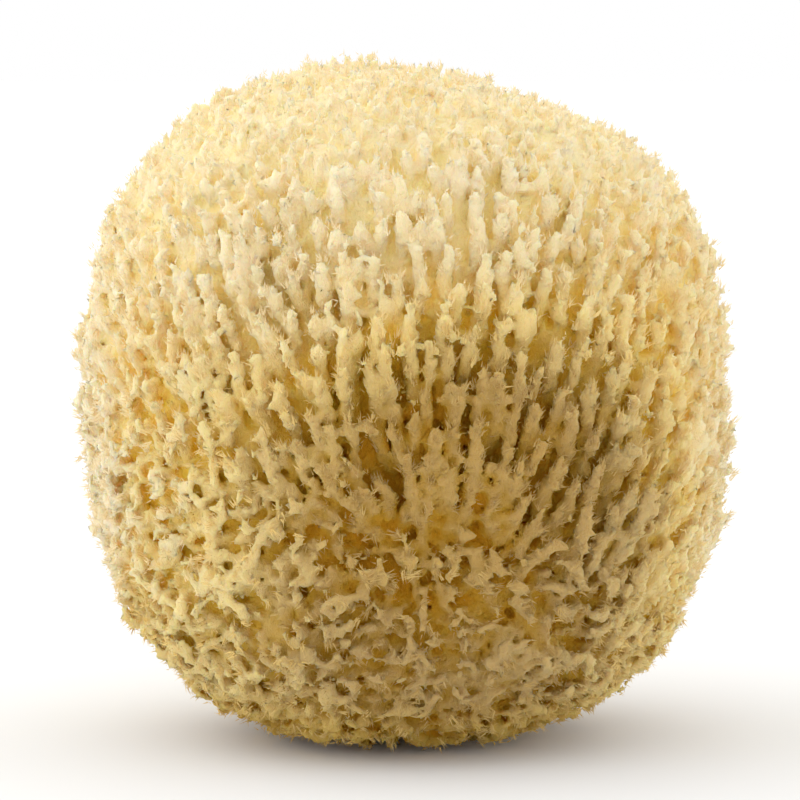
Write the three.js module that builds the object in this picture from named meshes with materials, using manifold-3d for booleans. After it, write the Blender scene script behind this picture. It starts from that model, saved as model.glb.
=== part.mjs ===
// A natural bath sponge: one soft, round-square body of spongin that grew as a single piece.
// The solid is the outer form of the sponge. It reaches the tips of the tufts, it carries the
// broad swellings and a coarse relief of tufts, and it is cut off flat where it grew on rock.
// Millimetres, +Z up. The origin is in the middle of the flat cut that the sponge rests on.

import * as THREE from 'three';
import { mergeVertices } from 'three/addons/utils/BufferGeometryUtils.js';
import Module from 'manifold-3d';

// Overall size of the finished sponge.
const WIDTH = 131;
const DEPTH = 125;
const HEIGHT = 136;

// How full the form is, as exponents of a superellipsoid: 2 would be an ellipsoid.
const CROWN_FULLNESS = 2.65;
const UNDERSIDE_FULLNESS = 2.3;
const ROUND_FULLNESS = 2.15;

// The cut base. The uncut sponge reached this far below it, on the rock.
const CUT_DEPTH = 2.8;

// How far apart the triangle corners are: an icosahedron's edges are each split into this many.
const EDGE_SPLITS = 15;

// Coarse relief of tufts, which fades out on the flatter underside.
const TUFT_COUNT = 190;
const TUFT_RELIEF = 3.6;
const TUFT_SPREAD = 0.125;
const TUFT_FADE_FROM = -0.95;
const TUFT_FADE_TO = -0.6;
const GOLDEN_ANGLE = Math.PI * (3 - Math.sqrt(5));

// Broad swellings and hollows: compass angle from +X towards +Y and height angle in degrees,
// rise in millimetres and spread in degrees.
const SWELLINGS = [
  { name: 'crown', around: 180, up: 78, rise: 1.5, spread: 24 },
  { name: 'slope beside the crown', around: 0, up: 67, rise: -4.5, spread: 17 },
  { name: 'left shoulder', around: 180, up: 34, rise: 1.8, spread: 18 },
  { name: 'notch under the right shoulder', around: 0, up: 30, rise: -1.5, spread: 8 },
  { name: 'step under the left cheek', around: 185, up: -32, rise: -1.5, spread: 10 },
  { name: 'right flank', around: 0, up: -30, rise: -1.5, spread: 14 },
  { name: 'lifted heel', around: 0, up: -70, rise: -2.6, spread: 12 },
  { name: 'brow', around: 262, up: 30, rise: 4, spread: 30 },
  { name: 'right cheek', around: 318, up: 4, rise: 3, spread: 22 },
  { name: 'hollow below the brow', around: 278, up: -14, rise: -4.5, spread: 18 },
  { name: 'chin', around: 255, up: -50, rise: 2, spread: 20 },
  { name: 'back right lobe', around: 62, up: 18, rise: 4, spread: 28 },
  { name: 'back furrow', around: 104, up: 25, rise: -4, spread: 12 },
  { name: 'back left lobe', around: 138, up: 8, rise: 3, spread: 24 },
  { name: 'hollow low at the back', around: 92, up: -38, rise: -3, spread: 18 },
];

// Colours and finish of the dry spongin.
const SPONGIN_COLOUR = 0xe3c68a;
const SPONGIN_ROUGHNESS = 0.95;
const SPONGIN_METALNESS = 0;

const radians = THREE.MathUtils.degToRad;

function directionOf(around, up) {
  const flat = Math.cos(radians(up));
  const turn = radians(around);
  return new THREE.Vector3(flat * Math.cos(turn), flat * Math.sin(turn), Math.sin(radians(up)));
}

// Directions spread evenly over the sphere on a spiral, each with its own height of tuft.
function tuftDirections() {
  return Array.from({ length: TUFT_COUNT }, (_, index) => {
    const z = 1 - (2 * (index + 0.5)) / TUFT_COUNT;
    const flat = Math.sqrt(1 - z * z);
    const turn = index * GOLDEN_ANGLE;
    return {
      axis: new THREE.Vector3(flat * Math.cos(turn), flat * Math.sin(turn), z),
      height: TUFT_RELIEF * (0.75 + 0.25 * Math.sin(index * 2.3)),
    };
  });
}

// Distance from the middle to the plain rounded form along a direction.
function roundedRadius(direction) {
  const half = { x: WIDTH / 2, y: DEPTH / 2, z: (HEIGHT + CUT_DEPTH) / 2 };
  const level = Math.abs(direction.x / half.x) ** ROUND_FULLNESS
    + Math.abs(direction.y / half.y) ** ROUND_FULLNESS;
  const fullness = direction.z > 0 ? CROWN_FULLNESS : UNDERSIDE_FULLNESS;
  const upright = Math.abs(direction.z / half.z) ** fullness;
  return (level ** (fullness / ROUND_FULLNESS) + upright) ** (-1 / fullness);
}

function swellingAt(direction) {
  return SWELLINGS.reduce((sum, { around, up, rise, spread }) => {
    const away = direction.angleTo(directionOf(around, up)) / radians(spread);
    return sum + rise * Math.exp(-away * away);
  }, 0);
}

function tuftReliefAt(direction, tufts) {
  const relief = tufts.reduce((best, { axis, height }) => {
    const away = direction.angleTo(axis) / TUFT_SPREAD;
    return Math.max(best, height * Math.exp(-away * away));
  }, 0);
  return relief * THREE.MathUtils.smoothstep(direction.z, TUFT_FADE_FROM, TUFT_FADE_TO);
}

// The whole uncut form: a fine icosahedron with every corner moved out to the sponge's surface.
function uncutForm() {
  const geometry = new THREE.IcosahedronGeometry(1, EDGE_SPLITS - 1);
  geometry.deleteAttribute('normal');
  geometry.deleteAttribute('uv');
  const merged = mergeVertices(geometry);
  const tufts = tuftDirections();
  const position = merged.attributes.position;
  const direction = new THREE.Vector3();
  for (let index = 0; index < position.count; index += 1) {
    direction.fromBufferAttribute(position, index).normalize();
    const radius = roundedRadius(direction) + swellingAt(direction) + tuftReliefAt(direction, tufts);
    position.setXYZ(index, direction.x * radius, direction.y * radius, direction.z * radius);
  }
  return merged;
}

// Stretches a form to the overall size and stands it so that the cut is at height 0.
function fittedForm(geometry) {
  geometry.computeBoundingBox();
  const size = geometry.boundingBox.getSize(new THREE.Vector3());
  const middle = geometry.boundingBox.getCenter(new THREE.Vector3());
  const uncutHeight = HEIGHT + CUT_DEPTH;
  geometry.translate(-middle.x, -middle.y, -middle.z);
  geometry.scale(WIDTH / size.x, DEPTH / size.y, uncutHeight / size.z);
  geometry.translate(0, 0, uncutHeight / 2 - CUT_DEPTH);
  return geometry;
}

function toSolid(library, geometry) {
  const triangles = geometry.index
    ? Uint32Array.from(geometry.index.array)
    : Uint32Array.from({ length: geometry.attributes.position.count }, (_, index) => index);
  const mesh = new library.Mesh({
    numProp: 3,
    vertProperties: Float32Array.from(geometry.attributes.position.array),
    triVerts: triangles,
  });
  return new library.Manifold(mesh);
}

function toGeometry(solid) {
  const mesh = solid.getMesh();
  const geometry = new THREE.BufferGeometry();
  geometry.setAttribute('position', new THREE.Float32BufferAttribute(mesh.vertProperties, 3));
  geometry.setIndex(new THREE.Uint32BufferAttribute(mesh.triVerts, 1));
  geometry.computeVertexNormals();
  return geometry;
}

// The block of rock below the cut, a plain box well wider than the sponge.
function rockBlock() {
  const block = new THREE.BoxGeometry(2 * WIDTH, 2 * DEPTH, HEIGHT);
  block.translate(0, 0, -HEIGHT / 2);
  block.deleteAttribute('normal');
  block.deleteAttribute('uv');
  return mergeVertices(block);
}

async function spongeGeometry() {
  const library = await Module();
  library.setup();
  const whole = toSolid(library, fittedForm(uncutForm()));
  const rock = toSolid(library, rockBlock());
  return toGeometry(whole.subtract(rock));
}

const spongin = new THREE.MeshStandardMaterial({
  color: SPONGIN_COLOUR,
  roughness: SPONGIN_ROUGHNESS,
  metalness: SPONGIN_METALNESS,
});

const sponge = new THREE.Mesh(await spongeGeometry(), spongin);
sponge.name = 'sponge';

const part = new THREE.Group();
part.add(sponge);

export default part;
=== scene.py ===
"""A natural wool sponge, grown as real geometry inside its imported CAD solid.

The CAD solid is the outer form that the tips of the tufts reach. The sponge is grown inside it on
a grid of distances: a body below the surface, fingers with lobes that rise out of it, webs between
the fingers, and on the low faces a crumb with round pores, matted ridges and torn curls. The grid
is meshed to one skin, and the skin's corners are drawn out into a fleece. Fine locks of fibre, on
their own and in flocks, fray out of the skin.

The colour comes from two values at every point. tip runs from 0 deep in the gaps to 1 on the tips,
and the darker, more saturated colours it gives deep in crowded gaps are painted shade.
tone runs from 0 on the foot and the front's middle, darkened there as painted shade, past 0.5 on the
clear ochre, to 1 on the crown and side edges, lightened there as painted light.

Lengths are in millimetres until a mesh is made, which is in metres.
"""

import math
from collections import namedtuple

import bpy
import numpy as np
import openvdb
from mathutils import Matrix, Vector


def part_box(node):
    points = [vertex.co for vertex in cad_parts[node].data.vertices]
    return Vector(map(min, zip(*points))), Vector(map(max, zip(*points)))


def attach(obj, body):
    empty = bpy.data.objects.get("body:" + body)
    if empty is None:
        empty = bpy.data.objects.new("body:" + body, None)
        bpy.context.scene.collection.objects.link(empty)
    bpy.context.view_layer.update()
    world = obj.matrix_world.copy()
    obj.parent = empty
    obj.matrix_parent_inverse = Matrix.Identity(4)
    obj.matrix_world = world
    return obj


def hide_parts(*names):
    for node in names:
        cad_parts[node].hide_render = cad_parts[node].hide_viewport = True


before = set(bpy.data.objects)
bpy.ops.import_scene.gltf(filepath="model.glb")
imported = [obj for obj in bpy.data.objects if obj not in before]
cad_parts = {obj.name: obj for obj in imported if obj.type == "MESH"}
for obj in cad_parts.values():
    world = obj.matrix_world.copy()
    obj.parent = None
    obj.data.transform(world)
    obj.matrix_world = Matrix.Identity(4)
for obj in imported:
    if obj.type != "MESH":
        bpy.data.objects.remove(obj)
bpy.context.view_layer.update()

MM = 0.001
RNG = np.random.default_rng(20817)

# ---------------------------------------------------------------- driving sizes, from the frame
NODE = "sponge"
LOW, HIGH = (np.array(corner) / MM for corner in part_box(NODE))
WIDTH, DEPTH, HEIGHT = HIGH - LOW

# The tufts grow away from a point far below, and near the fan's centre away from that instead.
GROWTH_CENTRE = np.array([0.0, 0.0, -0.5 * HEIGHT])
FAN_CENTRE = np.array([0.02 * WIDTH, -0.36 * DEPTH, 0.30 * HEIGHT])
FAN_REACH = 0.36 * HEIGHT

# The middle of the deep gaps between the front's fingers, and of the painted shade round it.
OPEN_MIDDLE = np.array([0.06 * WIDTH, -0.5 * DEPTH, 0.40 * HEIGHT])
SHADED_MIDDLE = np.array([0.10 * WIDTH, -0.5 * DEPTH, 0.33 * HEIGHT])

# ---------------------------------------------------------------- sizes of the sponge's parts
# The grid that the sponge grows on: its cell, how far from the outer form its distances reach, and
# the values deep inside and well outside. From SOLID_FROM below its skin the body is deep inside.
VOXEL = 0.75
FIELD_REACH = 17.0
INSIDE, OUTSIDE = -6.0, 6.0
SOLID_FROM = 3.0
MOST_OVERHANG = 1.0

# How far the tufts stand above the body, their half-width and their spacing.
Tuft = namedtuple("Tuft", "height width spacing")
FINGER = Tuft(height=3.2, width=1.4, spacing=3.3)
CROWN = Tuft(height=3.5, width=1.3, spacing=2.9)
CRUMB = Tuft(height=3.4, width=1.1, spacing=3.1)

# How far fingers stand where the gaps are open, the places tried for tufts and the lowest of them,
# the least height, how deep tufts root, their widths from root to tip, the lobes on each, and how
# far apart two tufts may be and still be webbed.
OPEN_HEIGHT = 8.0
TUFT_TRIES = 26000
LOWEST_TUFT = 2.5
LEAST_TUFT = 4.0
TUFT_ROOT = 3.0
TUFT_PROFILE = np.array([0.8, 0.85, 0.9, 0.95, 0.9, 0.6])
LOBES = 9
WEB_REACH = 7.0

# Pores: how many are tried, the usual half-width, the limits on it, and how deep they go.
PORE_TRIES = 2600
PORE_WIDTH = 1.2
PORE_LIMITS = (0.8, 2.2)
PORE_DEPTH = (3.0, 6.0)

# Ridges and torn curls on the crumb: how long they are, how far they stand off, how sharply they
# bend, their half-width and the fillet where they meet the crumb.
Curl = namedtuple("Curl", "length lift turn width blend")
RIDGE = Curl(length=(4.0, 11.0), lift=(-1.9, -0.7), turn=0.5, width=(0.5, 0.8), blend=0.5)
TORN = Curl(length=(2.5, 6.5), lift=(-0.9, 0.3), turn=0.6, width=(0.42, 0.62), blend=0.3)
CURL_RINGS = 6
CURL_TRIES = 1500

# Fibres, as single locks and as the locks of a flock: how long each is, its half-width at the
# foot, how far it strays from its place and how far it turns from its way.
Fibre = namedtuple("Fibre", "length width stray turn")
LOCK = Fibre(length=(0.55, 1.5), width=(0.08, 0.16), stray=0.3, turn=0.45)
FLOCK_LOCK = Fibre(length=(1.1, 2.4), width=(0.10, 0.19), stray=0.28, turn=0.24)
LOCKS = 40000
FLOCKS = 5300
LOCKS_PER_FLOCK = 7
FLOCK_TIP = 0.8

# What keeps clear of the cut: the fleece, the places that fibres grow from, and their ends.
FLEECE_FROM = 0.5
FIBRES_FROM = 0.8
LOWEST_FIBRE = 0.2

# The most triangles that one mesh of skin may have.
MOST_TRIANGLES = 190000

# ---------------------------------------------------------------- finish, light and camera
# Colours at four places from deep in the gaps to the tips, for each of three tones. SHADE is painted
# shade,
# PALE painted light and OCHRE the clear spongin; the darker, more saturated colours deep in the gaps
# are painted shade.
TIP_PLACES = (0.0, 0.35, 0.65, 1.0)
SHADE = ((0.52, 0.22, 0.01), (0.47, 0.24, 0.02), (0.46, 0.26, 0.05), (0.50, 0.33, 0.12))
OCHRE = ((0.96, 0.56, 0.03), (0.92, 0.57, 0.07), (0.87, 0.59, 0.145), (0.87, 0.65, 0.25))
PALE = ((1.0, 0.74, 0.22), (0.98, 0.76, 0.32), (0.94, 0.76, 0.42), (0.91, 0.77, 0.50))

# Painted shade on the low parts: the colour darkens from the first of these heights down to the second.
FOOT_SHADE = (16.0, 2.0)

# How rough the fibre is, the share of light that passes through the body of the sponge, and how far
# it spreads there, as a length and its share for each colour.
ROUGHNESS = 0.92
GLOW = 0.65
LIGHT_SPREAD = 2.4
LIGHT_SPREAD_SHARES = (0.9, 0.6, 0.25)

# Grain of the finest fibres, from coarse to fine, and how far it is drawn out along them.
Grain = namedtuple("Grain", "wavelength height")
GRAINS = (Grain(wavelength=0.9, height=0.5), Grain(wavelength=0.32, height=0.3))
DRAWN_OUT = 0.8

# Wide soft lights, as the way towards each, its strength and how many degrees wide it is.
SoftSun = namedtuple("SoftSun", "name toward strength angle")
SOFT_SUNS = (SoftSun("key", (-0.35, 0.05, 0.90), 0.66, 90.0),
             SoftSun("left", (-0.85, 0.10, 0.40), 0.95, 80.0),
             SoftSun("right", (0.85, 0.25, 0.40), 0.60, 80.0))

# The picture's gamma, which lifts the dark of the gaps.
PICTURE_GAMMA = 1.2

# The floor's size in metres, and the camera's height angle in degrees, its distance in metres, the
# width of its picture and how far to the side and below the middle it is aimed.
FLOOR_SIZE = 12.0
CAMERA_ANGLE = 5.5
CAMERA_DISTANCE = 0.85
PICTURE_WIDTH = 1.216 * WIDTH
CAMERA_SHIFT = np.array([-0.0084 * WIDTH, 0.0, -0.0103 * HEIGHT])


# ---------------------------------------------------------------- small maths
def unit(vectors):
    return vectors / np.maximum(np.linalg.norm(vectors, axis=-1, keepdims=True), 1e-9)


def mix(first, second, share):
    return first + (second - first) * share


def ramp(value, start, stop):
    """0 at start, 1 at stop, and smooth between them. start may be the larger."""
    t = np.clip((value - start) / (stop - start), 0.0, 1.0)
    return t * t * (3.0 - 2.0 * t)


def away_from(points, middle):
    return np.linalg.norm(points - middle, axis=-1)


def lying(way, out, lift):
    """The way laid flat on the skin, then lifted off it."""
    return unit(unit(way - out * np.sum(way * out, axis=1, keepdims=True)) + out * lift)


def jitter(shape, size):
    return RNG.normal(0.0, size, shape)


def interpolated(table, spot):
    """Values of a table between its cells. spot counts in cells, as (points, 3)."""
    top = np.array(table.shape[:3]) - 2
    base = np.clip(np.floor(spot).astype(int), 0, top)
    part = np.clip(spot - base, 0.0, 1.0)
    total = 0.0
    for corner in np.ndindex(2, 2, 2):
        cell = base + corner
        weight = np.prod(np.where(corner, part, 1.0 - part), axis=-1)
        value = table[cell[..., 0], cell[..., 1], cell[..., 2]]
        total = total + (weight[..., None] * value if value.ndim > weight.ndim else weight * value)
    return total


class Noise:
    """Smooth noise between -1 and 1 in space, from a repeating block of random values."""

    CELLS = 24

    def __init__(self, wavelength, channels=1):
        self.wavelength = wavelength
        self.values = RNG.uniform(-1.0, 1.0, (self.CELLS,) * 3 + (channels,)).astype(np.float32)

    def __call__(self, points):
        spot = points / self.wavelength
        base = np.floor(spot).astype(int)
        part = (spot - base).astype(np.float32)
        part = part * part * (3.0 - 2.0 * part)
        total = 0.0
        for corner in np.ndindex(2, 2, 2):
            cell = (base + corner) % self.CELLS
            weight = np.prod(np.where(corner, part, 1.0 - part), axis=-1)
            total = total + weight[..., None] * self.values[cell[..., 0], cell[..., 1], cell[..., 2]]
        return total if total.shape[-1] > 1 else total[..., 0]


# ---------------------------------------------------------------- the outer form
class OuterForm:
    """Distance to the CAD solid's surface, below 0 inside it, on a grid of voxels."""

    def __init__(self, node):
        mesh = node.data
        mesh.calc_loop_triangles()
        points = np.empty(3 * len(mesh.vertices), np.float32)
        mesh.vertices.foreach_get("co", points)
        corners = np.empty(3 * len(mesh.loop_triangles), np.int32)
        mesh.loop_triangles.foreach_get("vertices", corners)
        self.points = points.reshape(-1, 3) / MM
        self.triangles = corners.reshape(-1, 3)
        grid = openvdb.FloatGrid.createLevelSetFromPolygons(
            self.points.astype(np.float64), triangles=self.triangles.astype(np.uint32),
            transform=openvdb.createLinearTransform(VOXEL), halfWidth=FIELD_REACH / VOXEL)
        margin = 4
        self.first = np.floor(LOW / VOXEL).astype(int) - margin
        shape = np.ceil(HIGH / VOXEL).astype(int) + margin + 1 - self.first
        self.values = np.empty(shape, np.float32)
        grid.copyToArray(self.values, ijk=tuple(int(i) for i in self.first))
        self.slopes = np.stack(np.gradient(self.values, VOXEL), axis=-1)

    def read(self, table, points):
        """Values at the points from a table with one cell for every voxel."""
        return interpolated(table, points / VOXEL - self.first)

    def distance(self, points):
        return self.read(self.values, points)

    def outward(self, points):
        return unit(self.read(self.slopes, points))

    def scatter(self, count):
        """Random points spread evenly over the surface."""
        a, b, c = (self.points[self.triangles[:, i]] for i in range(3))
        area = np.linalg.norm(np.cross(b - a, c - a), axis=1)
        chosen = RNG.choice(len(area), count, p=area / area.sum())
        u, v = RNG.random((2, count, 1))
        flip = u + v > 1.0
        u, v = np.where(flip, 1.0 - u, u), np.where(flip, 1.0 - v, v)
        return a[chosen] + u * (b - a)[chosen] + v * (c - a)[chosen]


outer = OuterForm(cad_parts[NODE])


# ---------------------------------------------------------------- where the sponge is what
OPEN_NOISE = Noise(26.0)


def porous_share(points):
    """1 on the low faces, where the sponge is a porous crumb, and 0 among the fingers."""
    x, y, z = np.moveaxis(points, -1, 0)
    front_edge = 0.35 * HEIGHT - 0.38 * x
    back_edge = 0.26 * HEIGHT + 0.12 * x
    edge = mix(back_edge, front_edge, ramp(y, 0.12 * DEPTH, -0.12 * DEPTH))
    return ramp(z, edge + 0.09 * HEIGHT, edge - 0.07 * HEIGHT)


def crown_share(points):
    return ramp(points[..., 2], 0.62 * HEIGHT, 0.86 * HEIGHT)


def open_share(points):
    """1 where deep gaps part the fingers, round the middle of the front, and 0 where they are fused."""
    y, z = points[..., 1], points[..., 2]
    front = ramp(away_from(points, OPEN_MIDDLE), 0.62 * HEIGHT, 0.16 * HEIGHT)
    behind = 0.6 * ramp(y, -0.1 * DEPTH, 0.3 * DEPTH) * ramp(z, 0.95 * HEIGHT, 0.5 * HEIGHT)
    return np.clip(np.maximum(front, behind) + 0.15 * OPEN_NOISE(points), 0.0, 1.0)


def region_tone_light_and_shade(points):
    """The tone of each region: painted light on the crown and the side edges, clear ochre between them,
    and painted shade on the front's middle and the foot.
    """
    x, z = points[..., 0], points[..., 2]
    # Painted light: the crown and the side edges are paler where the light falls.
    crown = ramp(z - 0.15 * x, 0.49 * HEIGHT, 0.86 * HEIGHT)
    left = ramp(x, -0.38 * WIDTH, -0.48 * WIDTH) * ramp(z, 0.05 * HEIGHT, 0.35 * HEIGHT)
    right = 0.8 * ramp(x, 0.36 * WIDTH, 0.5 * WIDTH)
    pale = 1.0 - (1.0 - crown) * (1.0 - left) * (1.0 - right)
    # Painted shade over the middle of the front.
    painted_shade = ramp(away_from(points, SHADED_MIDDLE), 0.46 * HEIGHT, 0.14 * HEIGHT)
    # Painted shade towards the bottom.
    foot = ramp(z, 0.34 * HEIGHT, 0.0)
    return 0.5 + 0.5 * pale - 0.6 * painted_shade * (1.0 - pale) - 0.4 * foot


def tuft_size(points, name):
    """A named size of the tufts, blended from the fingers' to the crown's and the crumb's."""
    finger, crown, crumb = (getattr(kind, name) for kind in (FINGER, CROWN, CRUMB))
    return mix(mix(finger, crown, crown_share(points)), crumb, porous_share(points))


def tuft_height(points):
    """How far the tufts stand above the body: furthest where the gaps are open."""
    gaps = open_share(points) * (1.0 - porous_share(points))
    return mix(tuft_size(points, "height"), OPEN_HEIGHT, gaps)


def growth_direction(points):
    """The way the tufts grow: up and out from far below, and in a fan low on the front."""
    way = unit(points - GROWTH_CENTRE)
    near = ramp(away_from(points, FAN_CENTRE), FAN_REACH, 0.3 * FAN_REACH)[..., None]
    way = unit(mix(way, unit(points - FAN_CENTRE), 0.75 * near))
    return unit(mix(way, outer.outward(points), mix(0.12, 0.5, porous_share(points))[..., None]))


# ---------------------------------------------------------------- meshes
def new_mesh_object(name, points, faces, tip, tone, material, normals=None):
    """A piece of the sponge. It is smooth where normals are given, and flat-faced where not. tip
    and tone, at every point, drive the colour and lay out the OFBake map by their values."""
    mesh = bpy.data.meshes.new(name)
    mesh.vertices.add(len(points))
    mesh.vertices.foreach_set("co", (points * MM).astype(np.float32).ravel())
    corners = faces.ravel().astype(np.int32)
    mesh.loops.add(len(corners))
    mesh.loops.foreach_set("vertex_index", corners)
    mesh.polygons.add(len(faces))
    mesh.polygons.foreach_set("loop_start", np.arange(0, len(corners), 3, dtype=np.int32))
    mesh.polygons.foreach_set("use_smooth", np.full(len(faces), normals is not None))
    mesh.update(calc_edges=True)
    for label, values in (("tip", tip), ("tone", tone)):
        layer = mesh.attributes.new(label, "FLOAT", "POINT")
        layer.data.foreach_set("value", np.clip(values, 0.0, 1.0).astype(np.float32))
    bake_map = mesh.uv_layers.new(name="OFBake")
    place = mix(0.02, 0.98, np.clip(np.stack([tip, tone], axis=-1), 0.0, 1.0)[corners])
    bake_map.data.foreach_set("uv", place.astype(np.float32).ravel())
    mesh.materials.append(material)
    if normals is not None:
        mesh.normals_split_custom_set_from_vertices(normals.astype(np.float32).tolist())
    piece = bpy.data.objects.new(name, mesh)
    bpy.context.scene.collection.objects.link(piece)
    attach(piece, "root")
    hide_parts(NODE)


def bent_lines(start, middle, end, rings):
    """Points along many smooth bends at once, each drawn by three points."""
    t = np.linspace(0.0, 1.0, rings)[None, :, None]
    start, middle, end = (p[:, None] for p in (start, middle, end))
    return start * (1 - t) ** 2 + 2 * middle * t * (1 - t) + end * t * t


def vertex_normals(points, triangles):
    a, b, c = (points[triangles[:, k]] for k in range(3))
    face = np.cross(b - a, c - a)
    corners = triangles.ravel()
    total = [np.bincount(corners, np.repeat(face[:, k], 3), len(points)) for k in range(3)]
    return unit(np.stack(total, axis=-1))


# ---------------------------------------------------------------- material
def colour_ramp(tree, colours):
    """The colours from deep in the gaps, at 0, to the tips, at 1. The darker, more saturated colours
    deep in the gaps are painted shade.
    """
    tip = tree.nodes.new("ShaderNodeAttribute")
    tip.attribute_name = "tip"
    node = tree.nodes.new("ShaderNodeValToRGB")
    elements = node.color_ramp.elements
    while len(elements) < len(colours):
        elements.new(0.5)
    for element, place, colour in zip(elements, TIP_PLACES, colours):
        element.position = place
        element.color = (*colour, 1.0)
    tree.links.new(tip.outputs["Fac"], node.inputs["Fac"])
    return node.outputs["Color"]


def spongin_colour(tree):
    """Spongin in painted shade, clear ochre and painted light, from the shaded foot to the crown."""
    shade, ochre, pale = (colour_ramp(tree, colours) for colours in (SHADE, OCHRE, PALE))
    tone = tree.nodes.new("ShaderNodeAttribute")
    tone.attribute_name = "tone"
    colour = shade
    for start, upper in ((0.0, ochre), (0.5, pale)):
        share = tree.nodes.new("ShaderNodeMapRange")
        share.inputs["From Min"].default_value = start
        share.inputs["From Max"].default_value = start + 0.5
        blend = tree.nodes.new("ShaderNodeMix")
        blend.data_type = "RGBA"
        tree.links.new(tone.outputs["Fac"], share.inputs["Value"])
        tree.links.new(share.outputs["Result"], blend.inputs["Factor"])
        tree.links.new(colour, blend.inputs["A"])
        tree.links.new(upper, blend.inputs["B"])
        colour = blend.outputs["Result"]
    return colour


def fibre_place(tree):
    """Places drawn out along lines from the growth centre, so that grain runs as the tufts grow."""
    place = tree.nodes.new("ShaderNodeTexCoord")
    from_centre = tree.nodes.new("ShaderNodeVectorMath")
    from_centre.operation = "SUBTRACT"
    from_centre.inputs[1].default_value = GROWTH_CENTRE * MM
    direction = tree.nodes.new("ShaderNodeVectorMath")
    direction.operation = "NORMALIZE"
    across = tree.nodes.new("ShaderNodeVectorMath")
    across.operation = "SCALE"
    across.inputs["Scale"].default_value = DRAWN_OUT * HEIGHT * MM
    drawn_out = tree.nodes.new("ShaderNodeVectorMath")
    drawn_out.operation = "MULTIPLY_ADD"
    drawn_out.inputs[1].default_value = (DRAWN_OUT, DRAWN_OUT, DRAWN_OUT)
    tree.links.new(place.outputs["Object"], from_centre.inputs[0])
    tree.links.new(from_centre.outputs["Vector"], direction.inputs[0])
    tree.links.new(direction.outputs["Vector"], across.inputs[0])
    tree.links.new(from_centre.outputs["Vector"], drawn_out.inputs[0])
    tree.links.new(across.outputs["Vector"], drawn_out.inputs[2])
    return drawn_out.outputs["Vector"]


def add_fibre_bump(material):
    """Fibres too fine to model, in two sizes of grain."""
    tree = material.node_tree
    shader = tree.nodes["Principled BSDF"]
    place = fibre_place(tree)
    normal = None
    for wavelength, height in GRAINS:
        grain = tree.nodes.new("ShaderNodeTexNoise")
        grain.inputs["Scale"].default_value = 1.0 / (wavelength * MM)
        grain.inputs["Detail"].default_value = 2.0
        tree.links.new(place, grain.inputs["Vector"])
        bump = tree.nodes.new("ShaderNodeBump")
        bump.inputs["Strength"].default_value = 1.0
        bump.inputs["Distance"].default_value = height * MM
        tree.links.new(grain.outputs["Fac"], bump.inputs["Height"])
        if normal:
            tree.links.new(normal, bump.inputs["Normal"])
        normal = bump.outputs["Normal"]
    tree.links.new(normal, shader.inputs["Normal"])


def spongin_material(name, glow=0.0):
    """Dry spongin. glow is the share of light that passes through it."""
    material = bpy.data.materials.new(name)
    material.use_nodes = True
    tree = material.node_tree
    shader = tree.nodes["Principled BSDF"]
    shader.inputs["Roughness"].default_value = ROUGHNESS
    shader.inputs["Specular IOR Level"].default_value = 0.0
    shader.inputs["Subsurface Weight"].default_value = glow
    shader.inputs["Subsurface Radius"].default_value = LIGHT_SPREAD_SHARES
    shader.inputs["Subsurface Scale"].default_value = LIGHT_SPREAD * MM
    tree.links.new(spongin_colour(tree), shader.inputs["Base Color"])
    return material


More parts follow.
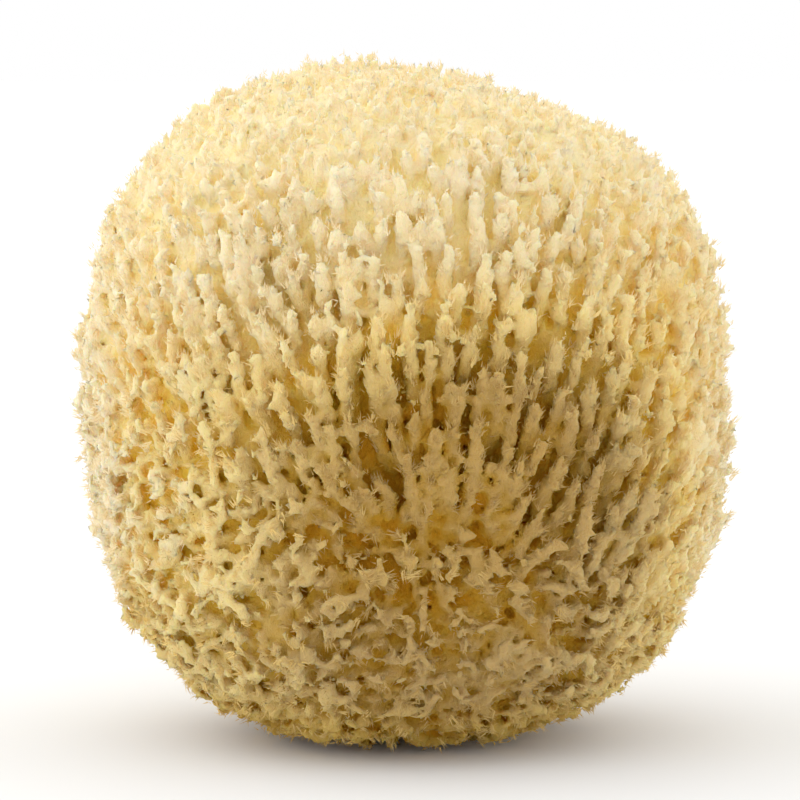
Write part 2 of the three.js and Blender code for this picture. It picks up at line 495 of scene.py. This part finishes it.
# ---------------------------------------------------------------- the growing sponge
class Growth:
    """Distance to the sponge's skin, below 0 inside it, on the outer form's grid."""

    def __init__(self):
        shape = outer.values.shape
        index = np.stack(np.meshgrid(*(np.arange(n) for n in shape), indexing="ij"), axis=-1)
        self.first = outer.first
        self.points = ((index + self.first) * VOXEL).astype(np.float32)
        self.values = outer.values.copy()

    def near(self, low, high):
        return (self.values > low) & (self.values < high)

    def cones(self, starts, ends, start_radii, end_radii, margin):
        """For each round-ended cone: the grid window around it, and the distance to it there."""
        reach = np.maximum(start_radii, end_radii)[:, None] + margin
        low = np.floor((np.minimum(starts, ends) - reach) / VOXEL).astype(int) - self.first
        high = np.ceil((np.maximum(starts, ends) + reach) / VOXEL).astype(int) - self.first + 1
        low, high = np.maximum(low, 0), np.minimum(high, self.values.shape)
        lengths = np.linalg.norm(ends - starts, axis=1)
        ways = (ends - starts) / lengths[:, None]
        for i, (a, b) in enumerate(zip(low, high)):
            x, y, z = ((np.arange(a[k], b[k]) + self.first[k]) * VOXEL - starts[i, k] for k in range(3))
            x, y, z = x[:, None, None], y[None, :, None], z[None, None, :]
            along = x * ways[i, 0] + y * ways[i, 1] + z * ways[i, 2]
            t = np.clip(along, 0.0, lengths[i])
            away = np.sqrt(np.maximum(x * x + y * y + z * z - 2.0 * t * along + t * t, 0.0))
            radius = start_radii[i] + (end_radii[i] - start_radii[i]) * t / lengths[i]
            yield tuple(slice(*pair) for pair in zip(a, b)), away - radius

    def join(self, starts, ends, start_radii, end_radii, blend):
        """Adds round-ended cones, with a soft fillet of about the blend where they meet."""
        margin = 2.0 * blend + VOXEL
        for window, distance in self.cones(starts, ends, start_radii, end_radii, margin):
            here = self.values[window]
            overlap = np.maximum(blend - np.abs(here - distance), 0.0) / blend
            self.values[window] = np.minimum(here, distance) - overlap * overlap * blend * 0.25

    def join_lines(self, lines, radii, blend):
        """Adds rods along lines of (rods, rings, 3) points, with (rods, rings) radii."""
        for k in range(lines.shape[1] - 1):
            self.join(lines[:, k], lines[:, k + 1], radii[:, k], radii[:, k + 1], blend)

    def cut(self, starts, ends, start_radii, end_radii):
        """Takes round-ended cones away."""
        for window, distance in self.cones(starts, ends, start_radii, end_radii, VOXEL):
            self.values[window] = np.maximum(self.values[window], -distance)

    def crowding(self, points, reach=2.5):
        """The share of sponge around each point, in a cube of the reach each way."""
        share = (self.values < 0.0).astype(np.float32)
        steps = int(round(reach / VOXEL))
        for axis in range(3):
            width = [(steps + 1, steps) if k == axis else (0, 0) for k in range(3)]
            total = np.cumsum(np.pad(share, width, mode="edge"), axis=axis)
            size = share.shape[axis]
            upper = np.take(total, np.arange(size) + 2 * steps + 1, axis=axis)
            lower = np.take(total, np.arange(size), axis=axis)
            share = (upper - lower) / (2 * steps + 1)
        return outer.read(share, points)

    def meshed(self):
        """The skin's points and triangles."""
        grid = openvdb.FloatGrid(background=OUTSIDE)
        grid.copyFromArray(self.values.astype(np.float64), ijk=tuple(int(i) for i in self.first))
        grid.gridClass = openvdb.GridClass.LEVEL_SET
        points, triangles, quads = grid.convertToPolygons(isovalue=0.0, adaptivity=0.15)
        halves = np.concatenate([quads[:, [0, 2, 1]], quads[:, [0, 3, 2]]])
        triangles = np.concatenate([triangles[:, ::-1], halves]).astype(np.int64)
        return points.astype(np.float64) * VOXEL, triangles


def sunken_body(growth):
    """Sinks the body below the outer form by the height of the tufts, with swells and hollows."""
    near = growth.near(-FIELD_REACH, 3.0)
    spots = growth.points[near]
    loose = np.maximum(open_share(spots), porous_share(spots))
    swell = mix(0.5, 1.5, loose) * Noise(16.0)(spots) + mix(0.5, 1.0, loose) * Noise(6.0)(spots)
    growth.values[near] += tuft_height(spots) + swell
    growth.values[growth.values < -SOLID_FROM] = INSIDE


def spaced_tips():
    """Where the tufts end on the outer form: kept apart by their spacing, and further apart along
    the way that they lie."""
    candidates = outer.scatter(TUFT_TRIES)
    candidates = candidates[candidates[:, 2] > LOWEST_TUFT]
    outward = outer.outward(candidates)
    way = growth_direction(candidates)
    slant = np.sum(way * outward, axis=1)
    lie = unit(way - outward * slant[:, None])
    spacing = tuft_size(candidates, "spacing") + 0.2 * open_share(candidates)
    spacing = spacing * np.exp(jitter(len(candidates), 0.12))
    upright = mix(0.55, 0.9, ramp(slant, 0.75, 1.0))
    stretch = mix(upright, 0.95, porous_share(candidates))
    kept = np.empty((0, 3))
    for i, point in enumerate(candidates):
        offset = kept - point
        rise = offset @ lie[i]
        gap = np.sum(offset * offset, axis=1) - (1.0 - stretch[i] ** 2) * rise ** 2
        if len(kept) == 0 or gap.min() > spacing[i] ** 2:
            kept = np.vstack([kept, point])
    return kept


def tuft_lines(tips, below):
    """Centre lines from inside the body to a little below the tips, as (tufts, rings, 3)."""
    outward = outer.outward(tips)
    sway = Noise(24.0, 3)
    way = unit(growth_direction(tips) + 0.15 * sway(tips) + jitter(tips.shape, 0.09))
    slant = np.clip(np.sum(way * outward, axis=1), 0.36, 1.0)
    height = np.maximum(tuft_height(tips), LEAST_TUFT) * RNG.uniform(0.9, 1.2, len(tips)) + TUFT_ROOT
    length = (height / slant)[:, None]
    ends = tips - way * below[:, None]
    roots = ends - way * length
    bend = np.cross(way, unit(jitter(tips.shape, 1.0))) * RNG.uniform(0.02, 0.10, (len(tips), 1))
    middles = mix(roots, ends, 0.55) + bend * length
    return bent_lines(roots, middles, ends, len(TUFT_PROFILE))


def along_lines(lines, which, share):
    """Points at a share of the way along some of the lines, and the way the lines run there."""
    spot = share * (lines.shape[1] - 1)
    base = np.minimum(spot.astype(int), lines.shape[1] - 2)
    here, after = lines[which, base], lines[which, base + 1]
    return mix(here, after, (spot - base)[:, None]), unit(after - here)


def add_lobes(growth, lines, width, crown):
    """One small lobe that leans out of every tuft, more of them near the tip."""
    count = len(lines)
    start, along = along_lines(lines, np.arange(count), 1.0 - 0.7 * RNG.random(count) ** 1.5)
    spread = mix(0.7, 0.45, crown)[:, None]
    way = unit(along * RNG.uniform(0.6, 1.8, (count, 1)) + spread * jitter((count, 3), 1.0))
    reach = width * RNG.uniform(1.0, 1.9, count) * mix(1.0, 0.75, crown)
    thick = width * RNG.uniform(0.36, 0.5, count)
    growth.join(start, start + way * reach[:, None], thick, thick * RNG.uniform(0.6, 0.9, count), 0.35)


def grow_tufts(growth, tips):
    """Fingers with lobes that grow up and out of the body, and the webs between them."""
    crown = crown_share(tips)
    width = tuft_size(tips, "width") * np.exp(jitter(len(tips), 0.16))
    below = width * 1.15 + 0.6 + RNG.uniform(0.0, 1.3, len(tips)) * mix(1.0, 0.6, crown)
    lines = tuft_lines(tips, below)
    growth.join_lines(lines, width[:, None] * TUFT_PROFILE, 0.8)
    for _ in range(LOBES):
        add_lobes(growth, lines, width, crown)
    web_tufts(growth, tips, lines, width)


def web_tufts(growth, tips, lines, width):
    """Joins neighbouring tufts: low down between the fingers, and close to the face on the crumb."""
    gap = np.linalg.norm(tips[:, None] - tips[None], axis=-1)
    first, second = np.nonzero(np.triu(gap < WEB_REACH, 1))
    porous = porous_share(tips[first])
    near = ramp(gap[first, second], WEB_REACH + 0.5, WEB_REACH - 3.0)
    wanted = mix(0.61 - 0.35 * open_share(tips[first]), 0.88, porous) * near
    keep = RNG.random(len(first)) < wanted
    first, second, porous = first[keep], second[keep], porous[keep]
    count = len(first)
    share = mix(RNG.uniform(0.15, 0.75, count), RNG.uniform(0.75, 1.0, count), porous)
    start, _ = along_lines(lines, first, share)
    end, _ = along_lines(lines, second, share)
    radius = width[first] * RNG.uniform(0.5, 0.85, count)
    middle = mix(start, end, 0.5) + jitter(start.shape, 0.6)
    growth.join(start, middle, radius, radius * 0.85, 0.8)
    growth.join(middle, end, radius * 0.85, radius, 0.8)


def carve_pores(growth):
    """Round tunnels that narrow inwards, most of them on the porous faces."""
    mouths = outer.scatter(PORE_TRIES)
    mouths = mouths[RNG.random(len(mouths)) < mix(0.03, 0.55, porous_share(mouths))]
    count = len(mouths)
    outward = mix(outer.outward(mouths), unit(mouths - GROWTH_CENTRE), 0.5)
    inward = -unit(outward + jitter((count, 3), 0.25))
    width = np.exp(jitter(count, 0.3) + math.log(PORE_WIDTH)).clip(*PORE_LIMITS)
    ends = mouths + inward * RNG.uniform(*PORE_DEPTH, (count, 1))
    growth.cut(mouths - inward, ends, width, width * 0.6)


def curled_lines(place, length, turn, lift):
    """Curved lines that creep over the outer form from each place, at the lift above it."""
    count = len(place)
    out = outer.outward(place)
    way = lying(jitter((count, 3), 1.0), out, 0.0)
    bend = jitter((count, 1), turn)
    line = []
    for k in range(CURL_RINGS):
        line.append(place)
        out = outer.outward(place)
        bend = bend + jitter((count, 1), 0.5 * turn)
        way = lying(way + np.cross(out, way) * bend, out, 0.0)
        place = place + way * length / (CURL_RINGS - 1)
        rise = lift + 0.4 * math.sin(math.pi * (k + 1) / (CURL_RINGS - 1))
        place = place - out * (outer.distance(place) - rise)[:, None]
    return np.stack(line, axis=1)


def grow_curls(growth, kind):
    """Ridges or torn curls that lie on the crumb between its pores."""
    places = outer.scatter(CURL_TRIES)
    wanted = porous_share(places) * ramp(places[:, 2], 3.0, 12.0)
    places = places[RNG.random(len(places)) < wanted]
    count = len(places)
    length = RNG.uniform(*kind.length, (count, 1))
    lines = curled_lines(places, length, kind.turn, RNG.uniform(*kind.lift, count))
    radii = RNG.uniform(*kind.width, (count, 1)) * RNG.uniform(0.8, 1.0, (count, CURL_RINGS))
    growth.join_lines(lines, radii, kind.blend)


def roughen(growth):
    """Small lumps all over the skin, calmer on the crown."""
    rough = growth.near(-2.0, 2.0)
    spots = growth.points[rough]
    calm = mix(1.0, 0.6, crown_share(spots))
    growth.values[rough] += calm * (0.5 * Noise(2.6)(spots) + 0.6 * Noise(1.5)(spots))


def trim(growth):
    """Cuts the sponge flat where it grew, and trims what stands too far out of the outer form."""
    below_floor = -growth.points[..., 2]
    too_far = outer.values - MOST_OVERHANG
    growth.values = np.maximum(growth.values, np.maximum(below_floor, too_far)).clip(INSIDE, OUTSIDE)


def grow_sponge():
    growth = Growth()
    sunken_body(growth)
    grow_tufts(growth, spaced_tips())
    carve_pores(growth)
    grow_curls(growth, RIDGE)
    grow_curls(growth, TORN)
    roughen(growth)
    trim(growth)
    return growth


# ---------------------------------------------------------------- skin
class Skin:
    """The meshed skin, its normals, how open the space before it is, and its two colour values, which
    carry painted light and shade.
    """

    def __init__(self, growth):
        self.points, self.triangles = growth.meshed()
        self.normals = vertex_normals(self.points, self.triangles)
        self.openness = 1.0 - growth.crowding(self.points + self.normals)
        self.draw_out_fleece()
        self.normals = vertex_normals(self.points, self.triangles)
        self.depth = -outer.distance(self.points)
        self.tip = self.find_tip_and_shade()
        self.tone = self.find_tone()

    def draw_out_fleece(self):
        """Roughens the skin's corners, and draws some of them out into small frayed points."""
        count = len(self.points)
        grain = jitter((count, 1), 0.10).clip(-0.2, 0.2)
        frayed = RNG.random(count) < 0.10 * ramp(self.openness, 0.4, 0.7)
        drawn = np.where(frayed, RNG.uniform(0.3, 0.85, count), 0.0)[:, None]
        way = unit(0.7 * self.normals + 0.7 * growth_direction(self.points) + jitter((count, 3), 0.3))
        above_floor = (self.points[:, 2] > FLEECE_FROM)[:, None]
        self.points = self.points + above_floor * (self.normals * grain + way * drawn)

    def find_tip_and_shade(self):
        # Painted shade: tip falls with the depth below the outer form and where the sponge crowds
        # round, darkening the gaps.
        relief = tuft_height(self.points) + 1.0
        tip = 0.5 * ramp(self.depth / relief, 1.1, 0.0) + 0.5 * ramp(self.openness, 0.25, 0.8)
        # Painted shade low down, where the underside lies in shadow.
        foot = ramp(self.points[:, 2], *FOOT_SHADE)
        # Painted shade in the front's deep hollow, darker still where the sponge crowds round.
        hollow_shade = ramp(away_from(self.points, OPEN_MIDDLE), 0.30 * HEIGHT, 0.10 * HEIGHT)
        return tip - 0.45 * foot - hollow_shade * (0.2 + 0.25 * ramp(self.openness, 0.8, 0.5))

    def find_tone(self):
        uneven = 0.08 * Noise(12.0)(self.points) + 0.08 * Noise(2.0)(self.points)
        torn = 0.2 * porous_share(self.points) * ramp(self.depth, 1.5, -0.5)
        return region_tone_light_and_shade(self.points) + uneven + torn

    def sectors(self):
        """Shares the triangles out over upright sectors, with ragged borders that don't show."""
        middle = self.points[self.triangles].mean(axis=1)
        ragged = 0.14 * Noise(9.0)(middle) + 0.14 * Noise(4.0)(middle)
        turn = (np.arctan2(middle[:, 0], -middle[:, 1]) + ragged + 0.25 * math.pi) % (2.0 * math.pi)
        count = int(np.ceil(len(self.triangles) / MOST_TRIANGLES))
        borders = np.quantile(turn, np.linspace(0.0, 1.0, count + 1)[1:-1])
        which = np.searchsorted(borders, turn)
        return [self.triangles[which == k] for k in range(count)]

    def lay(self, material):
        for k, triangles in enumerate(self.sectors()):
            used, corners = np.unique(triangles, return_inverse=True)
            new_mesh_object(f"sponge_skin_{k + 1}", self.points[used], corners.reshape(-1, 3),
                            self.tip[used], self.tone[used], material, self.normals[used])

    def choose(self, count, weight):
        """Random corners of the skin above the cut, as their numbers."""
        weight = np.where(self.points[:, 2] < FIBRES_FROM, 0.0, weight)
        return RNG.choice(len(self.points), count, p=weight / weight.sum())


# ---------------------------------------------------------------- fibres
def joined_locks(name, start, way, length, width, tip, tone, material):
    """Tapered locks of fibre as one mesh: each a long thin pyramid on three sides."""
    count = len(start)
    side = unit(np.cross(way, jitter((count, 3), 1.0)))
    other = np.cross(way, side)
    turns = np.arange(3) * 2.0 * math.pi / 3.0
    foot = [start + (math.cos(turn) * side + math.sin(turn) * other) * width for turn in turns]
    points = np.stack(foot + [start + way * length], axis=1).reshape(-1, 3)
    points[:, 2] = np.maximum(points[:, 2], LOWEST_FIBRE)
    pyramid = np.array([[0, 1, 3], [1, 2, 3], [2, 0, 3], [2, 1, 0]])
    faces = (pyramid[None] + 4 * np.arange(count)[:, None, None]).reshape(-1, 3)
    tips = np.repeat(tip, 4)
    tips[3::4] += 0.1
    new_mesh_object(name, points, faces, tips, np.repeat(tone, 4), material)


def make_locks(skin, material):
    """Fine single locks that fray out of the tufts, most of them round the tufts' ends."""
    weight = (0.08 + ramp(skin.openness, 0.5, 0.85)) * ramp(skin.depth, 9.0, 5.0)
    chosen = skin.choose(LOCKS, weight)
    start = skin.points[chosen] + jitter((LOCKS, 3), LOCK.stray)
    way = 0.8 * growth_direction(start) + 0.4 * skin.normals[chosen]
    way = unit(way + jitter((LOCKS, 3), LOCK.turn))
    length = RNG.uniform(*LOCK.length, (LOCKS, 1))
    width = RNG.uniform(*LOCK.width, (LOCKS, 1))
    tone = skin.tone[chosen] + RNG.uniform(-0.10, 0.14, LOCKS)
    joined_locks("locks", start, way, length, width, skin.tip[chosen], tone, material)


def make_flocks(skin, material):
    """Bundles of pale locks that lean the way the tufts grow, or lie about on the crumb."""
    chosen = skin.choose(FLOCKS, ramp(skin.openness, 0.6, 0.85) * ramp(skin.depth, 6.0, 3.0))
    out = skin.normals[chosen]
    place = skin.points[chosen] + jitter((FLOCKS, 3), 0.3)
    lying_way = lying(0.8 * unit(place - FAN_CENTRE) + jitter((FLOCKS, 3), 0.8), out, 0.3)
    leaning_way = unit(growth_direction(place) + 0.25 * out + jitter((FLOCKS, 3), 0.2))
    lean = unit(mix(leaning_way, lying_way, porous_share(place)[:, None]))
    lean = np.repeat(lean, LOCKS_PER_FLOCK, axis=0)
    count = len(lean)
    stray = jitter((count, 3), FLOCK_LOCK.stray)
    start = np.repeat(place, LOCKS_PER_FLOCK, axis=0) + stray - lean * 0.3
    way = unit(lean + jitter((count, 3), FLOCK_LOCK.turn))
    crown = crown_share(start)[:, None]
    length = RNG.uniform(*FLOCK_LOCK.length, (count, 1)) * mix(1.0, 0.6, crown)
    width = RNG.uniform(*FLOCK_LOCK.width, (count, 1))
    tone = np.repeat(skin.tone[chosen] + RNG.uniform(-0.03, 0.15, FLOCKS), LOCKS_PER_FLOCK)
    joined_locks("flocks", start, way, length, width, np.full(count, FLOCK_TIP), tone, material)


# ---------------------------------------------------------------- stage, light and camera
def make_floor():
    bpy.ops.mesh.primitive_plane_add(size=FLOOR_SIZE, location=(0.0, 0.0, 0.0))
    floor = bpy.context.object
    floor.name = "floor"
    material = bpy.data.materials.new("floor")
    material.use_nodes = True
    shader = material.node_tree.nodes["Principled BSDF"]
    shader.inputs["Base Color"].default_value = (0.80, 0.80, 0.79, 1.0)
    shader.inputs["Roughness"].default_value = 0.9
    floor.data.materials.append(material)


def make_soft_sun(sun):
    light = bpy.data.lights.new(sun.name, "SUN")
    light.energy = sun.strength
    light.angle = math.radians(sun.angle)
    lamp = bpy.data.objects.new(sun.name, light)
    lamp.rotation_euler = Vector(sun.toward).to_track_quat("Z", "Y").to_euler()
    bpy.context.scene.collection.objects.link(lamp)


def make_world():
    """A studio that is white all round."""
    world = bpy.data.worlds.new("studio")
    world.use_nodes = True
    background = world.node_tree.nodes["Background"]
    background.inputs["Color"].default_value = (1.0, 1.0, 1.0, 1.0)
    background.inputs["Strength"].default_value = 1.0
    bpy.context.scene.world = world


def make_lights():
    for sun in SOFT_SUNS:
        make_soft_sun(sun)
    bpy.context.scene.view_settings.view_transform = "Standard"
    bpy.context.scene.view_settings.gamma = PICTURE_GAMMA


def make_camera():
    """Looks at the front from a little above level, with the sponge filling most of the picture."""
    angle = math.radians(CAMERA_ANGLE)
    target = Vector(((LOW + HIGH) / 2 + CAMERA_SHIFT) * MM)
    data = bpy.data.cameras.new("camera")
    data.sensor_width = 36.0
    data.lens = data.sensor_width * CAMERA_DISTANCE / (PICTURE_WIDTH * MM)
    camera = bpy.data.objects.new("camera", data)
    camera.location = target + CAMERA_DISTANCE * Vector((0.0, -math.cos(angle), math.sin(angle)))
    camera.rotation_euler = (target - camera.location).to_track_quat("-Z", "Y").to_euler()
    bpy.context.scene.collection.objects.link(camera)
    bpy.context.scene.camera = camera


make_camera()
make_lights()
make_world()
make_floor()

spongin = spongin_material("spongin", GLOW)
add_fibre_bump(spongin)
fibre = spongin_material("spongin_fibre")

skin = Skin(grow_sponge())
skin.lay(spongin)
make_locks(skin, fibre)
make_flocks(skin, fibre)
